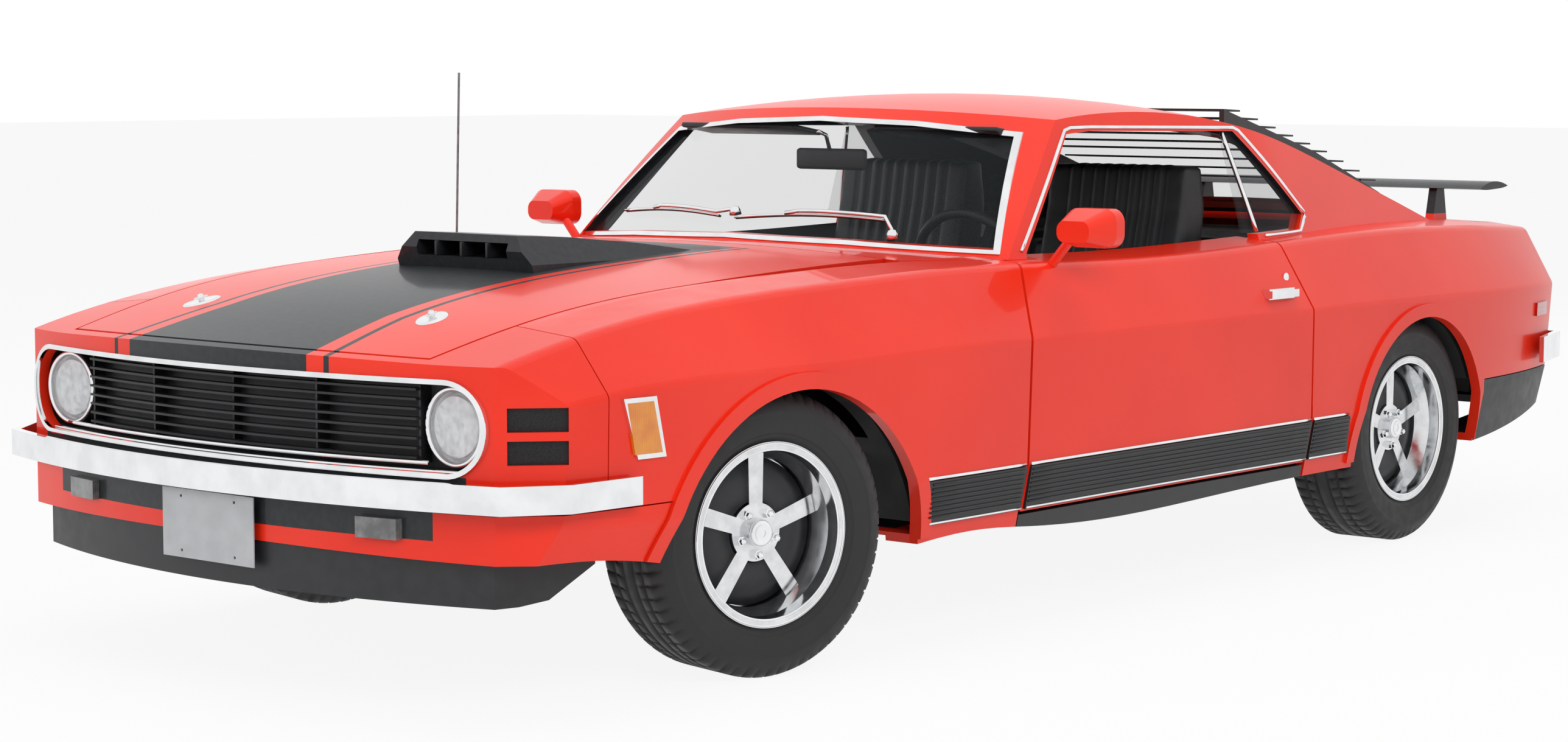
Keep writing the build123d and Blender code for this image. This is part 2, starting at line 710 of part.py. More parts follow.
# Bright edging round the windscreen
screen_edge = [(-716, 895), (-588, 1189), (-302, 1215), (0, 1225), (302, 1215), (588, 1189), (716, 895),
               (355, 914), (0, 922), (-355, 914)]
with BuildPart() as windshield_trim:
    add(cabin(-3))
    add(cabin_clear, mode=Mode.SUBTRACT)
    cut_front(screen_edge, 80, 900, Mode.INTERSECT)
    cut_front(screen_opening, 70, 950, Mode.SUBTRACT)
    add(outer_clear, mode=Mode.SUBTRACT)
export(Compound(children=[windshield_trim.part, grille_surround.part, side_marker.part,
                         mirror(side_marker.part, about=Plane.XZ)]), "bright_trim")

with BuildPart() as antenna:
    rod((915, -705, 860), (900, -705, 1338), 3)
    rod((915, -705, 860), (914, -705, 900), 11)
    add(outer_clear, mode=Mode.SUBTRACT)
export(antenna.part, "antenna")

# Underbody
with BuildPart() as floor_pan:
    slab(-880, 960, -777.7, 777.7, 252, 272)
    slab(-900, 780, -130, 130, 272, 420)
    slab(760, 780, -660, 660, 272, 850)
    for side in (-1, 1):
        slab(580, 770, side * 640.3, side * 752, 272, 815)
        slab(-880, -748, side * 690, side * 768, 272, 845)
    for sign in (-1, 1):
        cut_front([(sign * 690, 500), (sign * 739.0, 500), (sign * 732.4, 540), (sign * 690, 540)], -750, -690,
                  Mode.ADD)
    slab(-900, -880, -777.7, 777.7, 252, 560)
    slab(-910, 790, -108, 108, 240, 398, Mode.SUBTRACT)
    slab(905, 970, 690, 800, 240, 280, Mode.SUBTRACT)
    slab(905, 970, -800, -690, 240, 280, Mode.SUBTRACT)
export(floor_pan.part, "floor_pan")

# Wheelhouses: each row has the arch row, inner and outer y, the gap outside the arch and the foot height
house_wall = 12
with BuildPart() as front_frame:
    for y0, y1 in ((388, 850), (-850, -388)):
        axle_x, radius, height = arch_rows[0]
        arch(axle_x, radius + 14 + house_wall, height, y0, y1, Mode.ADD)
        arch(axle_x, radius + 14, height, y0 - 1, y1 + 1, Mode.SUBTRACT)
    slab(800, 2000, -1000, 1000, -400, 300, Mode.SUBTRACT)
    for side in (-1, 1):
        slab(1798, 1900, side * 694, side * 860, 290, 412, Mode.SUBTRACT)
        slab(900, 1900, side * 670, side * 800, 500, 662, Mode.SUBTRACT)
    for side in (-1, 1):
        slab(780.3, 2150, side * 335, side * 392, 300, 400)
        slab(2149, 2270.9, side * 335, side * 392, 369, 400)
        slab(2091, 2270.2, side * 335, side * 392, 450, 500)
    slab(2052, 2092, -600, 600, 340, 690)
    slab(1500, 1560, -335, 335, 250, 296)
    slab(1500, 1560, -392, -334, 250, 301)
    slab(1500, 1560, 334, 392, 250, 301)

with BuildPart() as rear_frame:
    for y0, y1 in ((594, 850), (-850, -594)):
        axle_x, radius, height = arch_rows[1]
        arch(axle_x, radius + 10 + house_wall, height, y0, y1, Mode.ADD)
        arch(axle_x, radius + 10, height, y0 - 1, y1 + 1, Mode.SUBTRACT)
    slab(-1800, -900, -1000, 1000, -400, 442, Mode.SUBTRACT)
    slab(-2284.4, -900.3, -606, 606, 540, 560)
    for side in (-1, 1):
        slab(-2271.6, -900.3, side * 500, side * 560, 442, 545)
        y0, y1 = sorted((side * 500, side * 560))
        cut_side([(-2240, 444), (-2240, 340), (-2265.8, 340), (-2271.6, 430), (-2271.6, 444)], y0, y1, Mode.ADD)
    slab(-1886, -1200, -548, 548, 838, 856)
    slab(-1210, -1190, -548, 548, 550, 856)

with BuildPart() as engine_block:
    slab(1010, 1620, -250, 250, 300, 770)
    slab(1220, 1300, -334.7, 334.7, 330, 380)
    slab(784, 1010, -120, 120, 290, 520)
export(engine_block.part, "engine_block")

with BuildPart() as driveline:
    slab(300, 783.7, -95, 95, 280, 390)
    slab(480, 560, -107.7, 107.7, 300, 340)
    rod((300, 0, 330), (-1215, 0, 322), 38)
    with Locations((rear_axle_x, 0, tyre_r)):
        Sphere(125.3, mode=Mode.SUBTRACT)
export(driveline.part, "driveline")

with BuildPart() as exhaust:
    for side in (-1, 1):
        rod((900, side * 260, 215), (-1780, side * 300, 215), 28)
        with Locations((-1960, side * 330, 215)):
            Box(380, 160, 90)
        rod((-2140, side * 330, 215), (-2340, side * 330, 225), 32)
        slab(180, 210, side * 255, side * 290, 225, 251.7)
export(exhaust.part, "exhaust")

with BuildPart() as fuel_tank:
    slab(-2230, -1800, -230, 230, 300, 539.7)
export(Compound(children=[rear_frame.part, fuel_tank.part]), "rear_frame")

# Front suspension carries an upright kingpin for each front wheel
kingpin_y = half_track - kingpin_inset
kingpin_r = 14
with BuildPart() as front_suspension:
    for side in (-1, 1):
        for z0, z1 in ((192, 216), (428, 450)):
            slab(1367, 1423, side * 380, side * (kingpin_y + 24), z0, z1)
        rod((front_axle_x, side * kingpin_y, 200), (front_axle_x, side * kingpin_y, 440), kingpin_r)
        slab(1360, 1430, side * 330, side * 400, 192, 299.7)
        slab(1367, 1423, side * 396, side * 420, 210, 440)
export(Compound(children=[front_frame.part, front_suspension.part]), "front_frame")


def steered(piece):
    """Turns a left-hand front wheel piece about its kingpin to the parked steering angle."""
    return Pos(front_axle_x, kingpin_y, tyre_r) * Rot(0, 0, steer_rest) * Pos(0, kingpin_inset, 0) * piece


def steered_right(piece):
    """Turns a right-hand front wheel piece about its kingpin to the parked steering angle."""
    return Pos(front_axle_x, -kingpin_y, tyre_r) * Rot(0, 0, steer_rest) * Pos(0, -kingpin_inset, 0) * piece


with BuildPart() as knuckle:
    rod((0, -kingpin_inset, -100), (0, -kingpin_inset, 94), 30)
    rod((0, -kingpin_inset, 0), (0, -56, 0), 34)
    rod((0, -60, 0), (0, -48, 0), 60)
    rod((0, -60, 0), (0, 26, 0), spindle_r)
    rod((0, -kingpin_inset, -120), (0, -kingpin_inset, 120), kingpin_r + spindle_clearance, Mode.SUBTRACT)
    slab(-150, -40, -62, -44, -30, 30)
    slab(-152, -95, -62, -42, -62, 62)
export(steered(knuckle.part), "knuckle_left")
export(steered_right(mirror(knuckle.part, about=Plane.XZ)), "knuckle_right")

with BuildPart() as brake_disc:
    rod((0, -34, 0), (0, -14, 0), 146)
    rod((0, -14, 0), (0, -2, 0), 78)
    rod((0, -40, 0), (0, 4, 0), 30, Mode.SUBTRACT)
export(steered(brake_disc.part), "brake_disc_left")
export(steered_right(mirror(brake_disc.part, about=Plane.XZ)), "brake_disc_right")

with BuildPart() as rim:
    with BuildSketch(Plane.XY):
        with BuildLine():
            Polyline((rim_r, -98), (lip_r, -98), (lip_r, -104), (188, -104), (184, -60), (170, -30),
                     (170, 30), (186, 70), (192, 104), (lip_r, 104), (lip_r, 98), (rim_r, 98), close=True)
        make_face()
    revolve(axis=Axis.Y)
    rod((0, -2, 0), (0, hub_face, 0), 66)
    with BuildSketch(side_plane(hub_face)):
        with PolarLocations(0, spoke_count, start_angle=90):
            Polygon((40, -18), (40, 18), (176, 21), (176, -21), align=None)
    extrude(amount=34)
    rod((0, hub_face, 0), (0, hub_face + 16, 0), 32)
    rod((0, -10, 0), (0, 30, 0), spindle_r + spindle_clearance, Mode.SUBTRACT)
with BuildPart() as tyre:
    with BuildSketch(Plane.XY):
        with BuildLine():
            half = tyre_width / 2
            Polyline((215, -103), (lip_r + 2, -97.8), (rim_r, -97.8), (rim_r, 97.8), (lip_r + 2, 97.8),
                     (215, 103))
            ThreePointArc((215, 103), (262, half), (304, 101))
            ThreePointArc((304, 101), (316, 93), (tyre_r, 80))
            Line((tyre_r, 80), (tyre_r, -80))
            ThreePointArc((tyre_r, -80), (316, -93), (304, -101))
            ThreePointArc((304, -101), (262, -half), (215, -103))
        make_face()
    revolve(axis=Axis.Y)
wheel_rows = [
    ("front_left", steered(rim.part), steered(tyre.part)),
    ("front_right", steered_right(mirror(rim.part, about=Plane.XZ)), steered_right(tyre.part)),
    ("rear_left", Pos(rear_axle_x, half_track, tyre_r) * rim.part, Pos(rear_axle_x, half_track, tyre_r) * tyre.part),
    ("rear_right", Pos(rear_axle_x, -half_track, tyre_r) * mirror(rim.part, about=Plane.XZ),
     Pos(rear_axle_x, -half_track, tyre_r) * tyre.part),
]
for corner, rim_piece, tyre_piece in wheel_rows:
    export(rim_piece, f"rim_{corner}")
    export(tyre_piece, f"tyre_{corner}")

with BuildPart() as rear_axle:
    rod((rear_axle_x, -half_track + 60, tyre_r), (rear_axle_x, half_track - 60, tyre_r), 38)
    with Locations((rear_axle_x, 0, tyre_r)):
        Sphere(125)
    for side in (-1, 1):
        hub = side * half_track
        rod((rear_axle_x, hub - side * 80, tyre_r), (rear_axle_x, hub - side * 14, tyre_r), 132)
        rod((rear_axle_x, hub - side * 80, tyre_r), (rear_axle_x, hub + side * 26, tyre_r), spindle_r)
        y0, y1 = sorted((side * 502, side * 558))
        cut_side([(-930, 330), (-930, 441.7), (-960, 441.7), (-960, 345), (-1348, 300), (-1900, 345),
                  (-1900, 441.7), (-1930, 441.7), (-1930, 320), (-1348, 272)], y0, y1, Mode.ADD)
export(rear_axle.part, "rear_axle")

# Cabin
with BuildPart() as dashboard:
    cut_side([(640, 850), (300, 850), (230, 820), (240, 640), (300, 600), (640, 600)], -640, 640, Mode.ADD)
    rod((60, 360, 800), (800, 360, 530.7), 34, Mode.SUBTRACT)
export(dashboard.part, "dashboard")

with BuildPart() as seat:
    cut_side([(-60, 300), (-40, 430), (-90, 470), (-440, 430), (-470, 300)], 140, 610, Mode.ADD)
    cut_side([(-400, 420), (-540, 960), (-560, 1085), (-640, 1085), (-660, 960), (-560, 400)], 145, 605,
             Mode.ADD)
    slab(-440, -80, 180, 560, 272, 301)
export_both(seat.part, "front_seats")

with BuildPart() as rear_seat:
    cut_side([(-716, 424), (-722, 596), (-1040, 584), (-1105, 835), (-1185, 835), (-1185, 560.3), (-874, 560.3),
              (-874, 424)], -540, 540, Mode.ADD)
export(rear_seat.part, "rear_seat")

column_tilt = 20
wheel_hub = Vector(60, 360, 800)
along = Vector(cos(radians(column_tilt)), 0, -sin(radians(column_tilt)))
with BuildPart() as steering_column:
    rod((wheel_hub + along * 60), (wheel_hub + along * 735), 26)
    rod((wheel_hub + along * 10), (wheel_hub + along * 70), 12)
export(steering_column.part, "steering_column")

with BuildPart() as steering_wheel:
    with BuildSketch(Plane.XZ):
        with Locations((186, 0)):
            Circle(13)
    revolve(axis=Axis.Z)
    rod((0, 0, -45), (0, 0, 14), 42)
    with BuildSketch(Plane.XY.offset(-6)):
        with PolarLocations(0, 3, start_angle=-90):
            Polygon((30, -16), (30, 16), (182, 12), (182, -12), align=None)
    extrude(amount=8)
    rod((0, 0, -60), (0, 0, -8), 12 + spindle_clearance, Mode.SUBTRACT)
wheel_turn = Pos(wheel_hub.X, wheel_hub.Y, wheel_hub.Z) * Rot(0, -(90 - column_tilt), 0)
export(wheel_turn * steering_wheel.part, "steering_wheel")
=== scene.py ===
import math
import bpy
from mathutils import Matrix, Vector
from mathutils.bvhtree import BVHTree


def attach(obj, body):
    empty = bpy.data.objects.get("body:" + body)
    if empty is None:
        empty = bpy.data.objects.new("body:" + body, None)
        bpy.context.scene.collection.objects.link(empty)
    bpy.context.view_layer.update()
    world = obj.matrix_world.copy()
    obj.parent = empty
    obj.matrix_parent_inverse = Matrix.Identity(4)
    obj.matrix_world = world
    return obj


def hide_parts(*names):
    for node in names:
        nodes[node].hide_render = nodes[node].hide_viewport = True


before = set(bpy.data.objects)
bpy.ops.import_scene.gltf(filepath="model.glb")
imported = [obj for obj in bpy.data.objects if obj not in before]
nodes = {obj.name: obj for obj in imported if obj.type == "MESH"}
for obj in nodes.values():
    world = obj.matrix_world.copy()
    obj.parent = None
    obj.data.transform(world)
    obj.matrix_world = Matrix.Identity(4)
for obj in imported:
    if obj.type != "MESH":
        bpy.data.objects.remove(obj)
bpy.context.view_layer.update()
scene = bpy.context.scene

# Places shared with the solids, in metres
FRONT_AXLE = 1.395
REAR_AXLE = -1.348
HALF_TRACK = 0.743
KINGPIN_Y = 0.625
TYRE_R = 0.322
STEER_REST = math.radians(-12)
NOSE_R = 2.7882
NOSE_CX = -0.4632
STRIPE_HALF = 0.262
STRIPE_REAR = 0.885
FLARE_FROM = 2.05
GAP_FROM = 0.95
PIN_WIDTH = 0.015
ROCKER_TOP_Z = 0.4035
ROCKER_LOW_Z = 0.296
POST_TOP = (-0.6440, 1.176)
POST_FOOT = (-0.706, 0.908)
POST_STEPS = 8
MIRROR_AT = (0.2975, 0.918, 0.962)
OUTSIDE_Y = 1.3
AHEAD_X = 1.4
SIDES = (("left", 1), ("right", -1))
BEZEL_R = 0.0805


# Materials
def node_tree(name):
    mat = bpy.data.materials.new(name)
    mat.use_nodes = True
    tree = mat.node_tree
    return mat, tree, tree.nodes["Principled BSDF"]


def link(tree, a, b):
    tree.links.new(a, b)


def object_coords(tree):
    return tree.nodes.new("ShaderNodeTexCoord").outputs["Object"]


def noise(tree, scale, detail=3.0):
    tex = tree.nodes.new("ShaderNodeTexNoise")
    tex.inputs["Scale"].default_value = scale
    tex.inputs["Detail"].default_value = detail
    link(tree, object_coords(tree), tex.inputs["Vector"])
    return tex.outputs["Fac"]


def ramp(tree, fac, low, high, a=0.35, b=0.65):
    r = tree.nodes.new("ShaderNodeValToRGB")
    r.color_ramp.elements[0].position = a
    r.color_ramp.elements[1].position = b
    r.color_ramp.elements[0].color = (*low, 1) if len(low) == 3 else low
    r.color_ramp.elements[1].color = (*high, 1) if len(high) == 3 else high
    link(tree, fac, r.inputs["Fac"])
    return r.outputs["Color"]


def maths(tree, op, a, b=None, clamp=False):
    m = tree.nodes.new("ShaderNodeMath")
    m.operation = op
    m.use_clamp = clamp
    for i, v in enumerate((a, b)):
        if v is None:
            continue
        if isinstance(v, (int, float)):
            m.inputs[i].default_value = v
        else:
            link(tree, v, m.inputs[i])
    return m.outputs[0]


def mix(tree, fac, a, b):
    m = tree.nodes.new("ShaderNodeMix")
    m.data_type = "RGBA"
    link(tree, fac, m.inputs["Factor"])
    for key, v in (("A", a), ("B", b)):
        socket = [s for s in m.inputs if s.name == key and s.type == "RGBA"][0]
        if isinstance(v, tuple):
            socket.default_value = (*v, 1)
        else:
            link(tree, v, socket)
    return [s for s in m.outputs if s.type == "RGBA"][0]


def bump(tree, bsdf, height, strength=0.1, distance=0.001):
    b = tree.nodes.new("ShaderNodeBump")
    b.inputs["Strength"].default_value = strength
    b.inputs["Distance"].default_value = distance
    link(tree, height, b.inputs["Height"])
    link(tree, b.outputs["Normal"], bsdf.inputs["Normal"])


def surface(name, low, high, rough, metal=0.0, scale=40.0, bump_scale=0.0, bump_strength=0.1,
            bump_distance=0.0006):
    """A material whose colour and roughness vary gently, with a fine bump."""
    mat, tree, bsdf = node_tree(name)
    field = noise(tree, scale, 4.0)
    link(tree, ramp(tree, field, low, high), bsdf.inputs["Base Color"])
    link(tree, ramp(tree, field, (rough[0],) * 3, (rough[1],) * 3), bsdf.inputs["Roughness"])
    bsdf.inputs["Metallic"].default_value = metal
    if bump_scale:
        bump(tree, bsdf, noise(tree, bump_scale, 2.0), bump_strength, bump_distance)
    return mat


PAINT_LOW = (0.88, 0.026, 0.007)
PAINT_HIGH = (0.95, 0.034, 0.010)
AMBER_LOW = (0.72, 0.20, 0.004)
AMBER_HIGH = (0.80, 0.27, 0.008)


def paint_base(name):
    mat, tree, bsdf = node_tree(name)
    colour = ramp(tree, noise(tree, 2.2, 2.0), PAINT_LOW, PAINT_HIGH)
    bsdf.inputs["Specular IOR Level"].default_value = 0.25
    bsdf.inputs["Coat Weight"].default_value = 0.45
    bsdf.inputs["Coat Roughness"].default_value = 0.035
    bsdf.inputs["Coat IOR"].default_value = 1.45
    bump(tree, bsdf, noise(tree, 420.0, 1.0), 0.03, 0.0003)
    return mat, tree, bsdf, colour


def make_paint():
    mat, tree, bsdf, colour = paint_base("paint_orange_red")
    link(tree, colour, bsdf.inputs["Base Color"])
    link(tree, ramp(tree, noise(tree, 9.0), (0.33,) * 3, (0.40,) * 3), bsdf.inputs["Roughness"])
    return mat


def split_xyz(tree):
    coords = tree.nodes.new("ShaderNodeTexCoord")
    split = tree.nodes.new("ShaderNodeSeparateXYZ")
    link(tree, coords.outputs["Object"], split.inputs["Vector"])
    return split.outputs["X"], split.outputs["Y"], split.outputs["Z"]


def masked_paint(name, mask_of):
    """Gloss paint with a satin black area where the mask is one."""
    mat, tree, bsdf, colour = paint_base(name)
    x, y, z = split_xyz(tree)
    mask = mask_of(tree, x, y, z)
    black = ramp(tree, noise(tree, 60.0), (0.014, 0.016, 0.018), (0.022, 0.024, 0.027))
    link(tree, mix(tree, mask, colour, black), bsdf.inputs["Base Color"])
    link(tree, mix(tree, mask, (0.36, 0.36, 0.36), (0.50, 0.50, 0.50)), bsdf.inputs["Roughness"])
    bsdf.inputs["Coat Weight"].default_value = 0.35
    bsdf.inputs["Coat Roughness"].default_value = 0.10
    return mat


def ahead_of(tree, x, start):
    return maths(tree, "MAXIMUM", maths(tree, "SUBTRACT", x, start), 0.0)


def stripe_mask(tree, x, y, z):
    """The wide hood stripe with a pin line along each side, both flared towards the nose."""
    away = maths(tree, "ABSOLUTE", y)
    flare = maths(tree, "MULTIPLY", ahead_of(tree, x, FLARE_FROM), 0.13)
    half = maths(tree, "ADD", flare, STRIPE_HALF)
    black = maths(tree, "LESS_THAN", away, half)
    out = maths(tree, "SUBTRACT", away, half)
    gap = maths(tree, "ADD", 0.016, maths(tree, "MULTIPLY", ahead_of(tree, x, GAP_FROM), 0.024))
    pin_in = maths(tree, "GREATER_THAN", out, gap)
    pin_out = maths(tree, "LESS_THAN", out, maths(tree, "ADD", gap, PIN_WIDTH))
    pin = maths(tree, "MULTIPLY", pin_in, pin_out)
    both = maths(tree, "MAXIMUM", black, pin)
    return maths(tree, "MULTIPLY", both, maths(tree, "GREATER_THAN", x, STRIPE_REAR))


def nose_mask(tree, x, y, z):
    """The hood stripe, and black in the recess behind the bumper."""
    low = maths(tree, "LESS_THAN", z, 0.514)
    inside = maths(tree, "LESS_THAN", maths(tree, "ABSOLUTE", y), 0.70)
    ahead = maths(tree, "GREATER_THAN", x, 2.19)
    return maths(tree, "MAXIMUM", stripe_mask(tree, x, y, z),
                 maths(tree, "MULTIPLY", low, maths(tree, "MULTIPLY", inside, ahead)))


def valance_mask(tree, x, y, z):
    """Black in the valance's opening."""
    high = maths(tree, "GREATER_THAN", z, 0.378)
    inside = maths(tree, "LESS_THAN", maths(tree, "ABSOLUTE", y), 0.62)
    ahead = maths(tree, "GREATER_THAN", x, 2.15)
    return maths(tree, "MULTIPLY", high, maths(tree, "MULTIPLY", inside, ahead))


def lining_mask(tree, x, y, z):
    """One on faces that look into the cabin, which are black trim on the real car."""
    coords = tree.nodes.new("ShaderNodeTexCoord")
    split = tree.nodes.new("ShaderNodeSeparateXYZ")
    link(tree, coords.outputs["Normal"], split.inputs["Vector"])
    across = maths(tree, "MULTIPLY", split.outputs["Y"], y)
    upward = maths(tree, "MULTIPLY", split.outputs["Z"], maths(tree, "SUBTRACT", z, 0.70))
    return maths(tree, "LESS_THAN", maths(tree, "ADD", across, upward), -0.14)


def wing_mask(tree, x, y, z):
    """Black on the wing and its stands."""
    high = maths(tree, "GREATER_THAN", z, 0.897)
    back = maths(tree, "LESS_THAN", x, -2.17)
    return maths(tree, "MULTIPLY", high, back)


paint = make_paint()
striped = masked_paint("paint_with_hood_stripe", stripe_mask)
winged = masked_paint("paint_with_black_wing", wing_mask)
nosed = masked_paint("paint_nose", nose_mask)
valanced = masked_paint("paint_front_valance", valance_mask)
lined = masked_paint("paint_with_black_lining", lining_mask)
satin_black = surface("satin_black", (0.010, 0.011, 0.012), (0.020, 0.021, 0.023), (0.42, 0.52), scale=25,
                      bump_scale=900, bump_strength=0.15)
matt_black = surface("matt_black", (0.008, 0.008, 0.009), (0.015, 0.015, 0.016), (0.75, 0.9), scale=20)
chrome = surface("chrome", (0.78, 0.79, 0.80), (0.88, 0.89, 0.90), (0.035, 0.09), metal=1.0, scale=14)
bright = surface("bright_wheel_metal", (0.66, 0.67, 0.68), (0.80, 0.81, 0.82), (0.08, 0.16), metal=1.0, scale=30)
steel = surface("worn_steel", (0.16, 0.16, 0.16), (0.30, 0.29, 0.28), (0.35, 0.55), metal=1.0, scale=60,
                bump_scale=300)
cast = surface("cast_iron", (0.045, 0.044, 0.043), (0.09, 0.085, 0.08), (0.55, 0.75), metal=0.6, scale=45,
               bump_scale=350, bump_strength=0.4)
underside = surface("underbody_black", (0.010, 0.010, 0.010), (0.022, 0.021, 0.020), (0.7, 0.9), scale=12,
                    bump_scale=160, bump_strength=0.3)
rubber = surface("tyre_rubber", (0.012, 0.012, 0.013), (0.022, 0.022, 0.023), (0.55, 0.72), scale=35,
                 bump_scale=600, bump_strength=0.12)
vinyl = surface("seat_vinyl", (0.010, 0.011, 0.012), (0.017, 0.018, 0.020), (0.38, 0.5), scale=30,
                bump_scale=520, bump_strength=0.35, bump_distance=0.0008)
plastic = surface("moulded_plastic", (0.011, 0.011, 0.012), (0.018, 0.018, 0.019), (0.45, 0.6), scale=25,
                  bump_scale=700, bump_strength=0.25)
plate_grey = surface("plate_paint", (0.46, 0.47, 0.48), (0.52, 0.53, 0.54), (0.30, 0.38), scale=18)
mesh_black = surface("vent_mesh", (0.010, 0.010, 0.011), (0.03, 0.03, 0.032), (0.5, 0.6), metal=0.5, scale=400)


def glass(name, colour, alpha, rough=0.02):
    mat, tree, bsdf = node_tree(name)
    link(tree, ramp(tree, noise(tree, 3.0), colour, tuple(c * 1.15 for c in colour)), bsdf.inputs["Base Color"])
    bsdf.inputs["Roughness"].default_value = rough
    bsdf.inputs["Alpha"].default_value = alpha
    bsdf.inputs["Specular IOR Level"].default_value = 0.35
    return mat


def ribbed(tree, bsdf):
    """Fine moulded ribs across a lens."""
    wave = tree.nodes.new("ShaderNodeTexWave")
    wave.inputs["Scale"].default_value = 60.0
    link(tree, object_coords(tree), wave.inputs["Vector"])
    bump(tree, bsdf, wave.outputs["Fac"], 0.4, 0.001)


def lamp(name, colour, high, rough=0.12):
    mat, tree, bsdf = node_tree(name)
    field = noise(tree, 26.0, 3.0)
    link(tree, ramp(tree, field, colour, high), bsdf.inputs["Base Color"])
    bsdf.inputs["Roughness"].default_value = rough
    bsdf.inputs["Coat Weight"].default_value = 1.0
    ribbed(tree, bsdf)
    return mat


clear = glass("window_glass", (0.035, 0.045, 0.05), 0.12)
amber = lamp("amber_lens", AMBER_LOW, AMBER_HIGH)
red_lens = lamp("red_lens", (0.42, 0.006, 0.006), (0.62, 0.014, 0.010))


def make_amber_or_clear():
    """Amber side markers, and smoky clear parking lamps under the bumper."""
    mat, tree, bsdf = node_tree("amber_and_parking_lens")
    x, y, z = split_xyz(tree)
    middle = maths(tree, "LESS_THAN", maths(tree, "ABSOLUTE", y), 0.60)
    field = noise(tree, 26.0, 3.0)
    clear_grey = ramp(tree, field, (0.10, 0.10, 0.10), (0.22, 0.22, 0.22))
    colour = mix(tree, middle, ramp(tree, field, AMBER_LOW, AMBER_HIGH), clear_grey)
    link(tree, colour, bsdf.inputs["Base Color"])
    bsdf.inputs["Roughness"].default_value = 0.12
    bsdf.inputs["Coat Weight"].default_value = 0.8
    ribbed(tree, bsdf)
    return mat


amber_or_clear = make_amber_or_clear()
lamp_silver = surface("lamp_reflector", (0.55, 0.56, 0.57), (0.86, 0.87, 0.88), (0.06, 0.2), metal=1.0, scale=70)

LOOKS = {
    "body_paint": paint, "black_satin": satin_black, "bright_metal": chrome, "wheel_bright": bright,
    "tyre_rubber": rubber, "clear_glass": clear, "lamp_glass": lamp_silver, "red_lamp": red_lens,
    "amber_lamp": amber, "under_black": underside, "cast": cast, "seat_vinyl": vinyl,
    "trim_plastic": plastic, "plate_paint": plate_grey, "steel": steel,
}


def dress(name, mat):
    for s in nodes[name].material_slots:
        s.material = mat


for node_name, obj in nodes.items():
    for s in obj.material_slots:
        base = s.material.name.split(".")[0] if s.material else ""
        s.material = LOOKS.get(base, satin_black)
for node_name in ("fenders", "tail_panel", "mirror_left", "mirror_right", "cowl_panel"):
    dress(node_name, paint)
dress("hood", striped)
dress("nose_panel", nosed)
dress("front_valance", valanced)
for node_name in ("roof_panel", "door_left", "door_right", "quarter_panels"):
    dress(node_name, lined)
dress("trunk_lid", winged)
for node_name in ("chin_spoiler", "sills", "rear_valance", "rear_slats", "rocker_trim", "door_trim_left",
                  "door_trim_right", "grille"):
    dress(node_name, satin_black)
dress("nostril_mesh", mesh_black)
for node_name in ("front_bumper", "rear_bumper", "bright_trim", "door_handle_left", "door_handle_right"):
    dress(node_name, chrome)
for node_name in ("windshield", "rear_window", "quarter_glass"):
    dress(node_name, clear)
dress("amber_lamps", amber_or_clear)
dress("tail_lamps", red_lens)
dress("headlamps", lamp_silver)
dress("number_plate", plate_grey)
dress("antenna", steel)
dress("dashboard", plastic)
dress("steering_wheel", plastic)
dress("steering_column", plastic)
for node_name in ("front_frame", "rear_frame", "floor_pan"):
    dress(node_name, underside)
for corner in ("front_left", "front_right", "rear_left", "rear_right"):
    dress("rim_" + corner, bright)

EDGE_WIDTHS = {
    "front_bumper": 0.006, "rear_bumper": 0.006, "mirror_left": 0.008, "mirror_right": 0.008,
    "rim_front_left": 0.003, "rim_front_right": 0.003, "rim_rear_left": 0.003, "rim_rear_right": 0.003,
    "hood": 0.004, "trunk_lid": 0.003, "door_handle_left": 0.002, "door_handle_right": 0.002,
    "chin_spoiler": 0.003, "number_plate": 0.0006,
}
for node_name, width in EDGE_WIDTHS.items():
    edge = nodes[node_name].modifiers.new("edge", "BEVEL")
    edge.width = width
    edge.segments = 2
    edge.limit_method = "ANGLE"
    edge.angle_limit = math.radians(35)


# Helpers for pieces
def piece(name, verts, faces, mat, body, smooth=True):
    mesh = bpy.data.meshes.new(name)
    mesh.from_pydata([tuple(v) for v in verts], [], faces)
    mesh.update()
    mesh.validate()
    for p in mesh.polygons:
        p.use_smooth = smooth
    mesh.materials.append(mat)
    obj = bpy.data.objects.new(name, mesh)
    scene.collection.objects.link(obj)
    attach(obj, body)
    return obj


